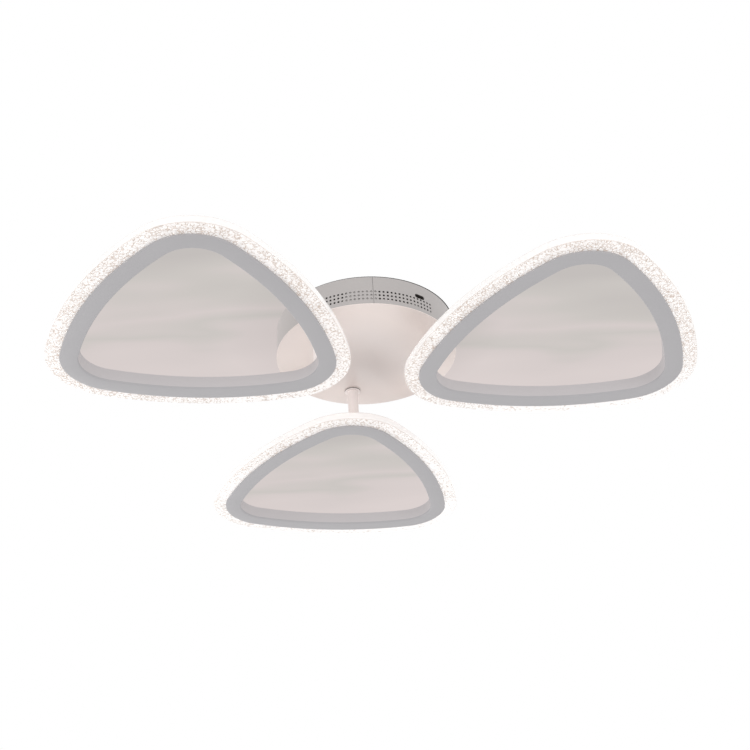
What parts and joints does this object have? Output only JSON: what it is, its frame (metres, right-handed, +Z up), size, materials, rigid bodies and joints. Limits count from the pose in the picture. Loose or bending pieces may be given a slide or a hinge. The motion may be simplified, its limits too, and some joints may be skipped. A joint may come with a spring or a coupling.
{
  "type": "led ceiling chandelier",
  "caption": "Flush ceiling light: a round perforated canopy carries rounded-triangle ring lamps with clear bubbled acrylic rims on short swivel stems.",
  "frame": {"origin": "on the ceiling plane at the centre of the canopy and of the mounting bracket", "axes": "+Z is up, square to the ceiling; the bracket and the right lamp's stem lie along X; the picture was taken from the -Y side, from below"},
  "size_m": [0.6377, 0.6776, 0.09],
  "materials": {
    "canopy_wall_paint": "satin white powder coat on perforated sheet",
    "canopy_face_paint": "smooth glossy white paint",
    "frame_paint": "matt white powder coat",
    "stem_paint": "satin white paint",
    "painted_screw": "white painted steel",
    "zinc_steel": "zinc plated",
    "brass": "plain",
    "fibre": "pressed fibre",
    "clear_acrylic": "clear cast acrylic with fine bubbles, lit from its inner edge",
    "light_strip": "white board with light packages",
    "driver_plastic": "moulded",
    "circuit_board": "printed board",
    "terminal_plastic": "moulded",
    "lead_sleeve": "soft sleeve"
  },
  "bodies": {
    "canopy": {"canopy_wall": "canopy_wall_paint", "canopy_face": "canopy_face_paint", "mounting_bracket": "zinc_steel", "canopy_side_screws": "painted_screw", "earth_screw": "brass", "driver_case": "driver_plastic", "driver_lid": "driver_plastic", "driver_board": "circuit_board", "terminal_block": "terminal_plastic", "mains_lead": "lead_sleeve", "right_driver_lead": "lead_sleeve", "left_driver_lead": "lead_sleeve", "far_driver_lead": "lead_sleeve"},
    "right_lamp": {"right_stem": "stem_paint", "right_stem_collar": "stem_paint", "right_fibre_washer": "fibre", "right_lock_nut": "zinc_steel", "right_stem_nut": "zinc_steel", "right_lamp_channel": "frame_paint", "right_lamp_face_plate": "frame_paint", "right_frame_screws": "painted_screw", "right_acrylic_ring": "clear_acrylic", "right_led_strip": "light_strip", "right_lamp_lead": "lead_sleeve"},
    "far_lamp": {"far_stem": "stem_paint", "far_stem_collar": "stem_paint", "far_fibre_washer": "fibre", "far_lock_nut": "zinc_steel", "far_stem_nut": "zinc_steel", "far_lamp_channel": "frame_paint", "far_lamp_face_plate": "frame_paint", "far_frame_screws": "painted_screw", "far_acrylic_ring": "clear_acrylic", "far_led_strip": "light_strip", "far_lamp_lead": "lead_sleeve"},
    "left_lamp": {"left_stem": "stem_paint", "left_stem_collar": "stem_paint", "left_fibre_washer": "fibre", "left_lock_nut": "zinc_steel", "left_stem_nut": "zinc_steel", "left_lamp_channel": "frame_paint", "left_lamp_face_plate": "frame_paint", "left_frame_screws": "painted_screw", "left_acrylic_ring": "clear_acrylic", "left_led_strip": "light_strip", "left_lamp_lead": "lead_sleeve"}
  },
  "joints": [
    {"name": "right_lamp_swivel", "type": "hinge", "parent": "canopy", "child": "right_lamp", "pos_m": [0.071, 0, -0.0355], "axis": [0, 0, 1], "range_deg": [-16.9, 37.1]},
    {"name": "far_lamp_swivel", "type": "hinge", "parent": "canopy", "child": "far_lamp", "pos_m": [-0.0355, 0.06149, -0.0355], "axis": [0, 0, 1], "range_deg": [-21.3, 32.7]},
    {"name": "left_lamp_swivel", "type": "hinge", "parent": "canopy", "child": "left_lamp", "pos_m": [-0.0355, -0.06149, -0.0355], "axis": [0, 0, 1], "range_deg": [-19.2, 34.8]}
  ]
}
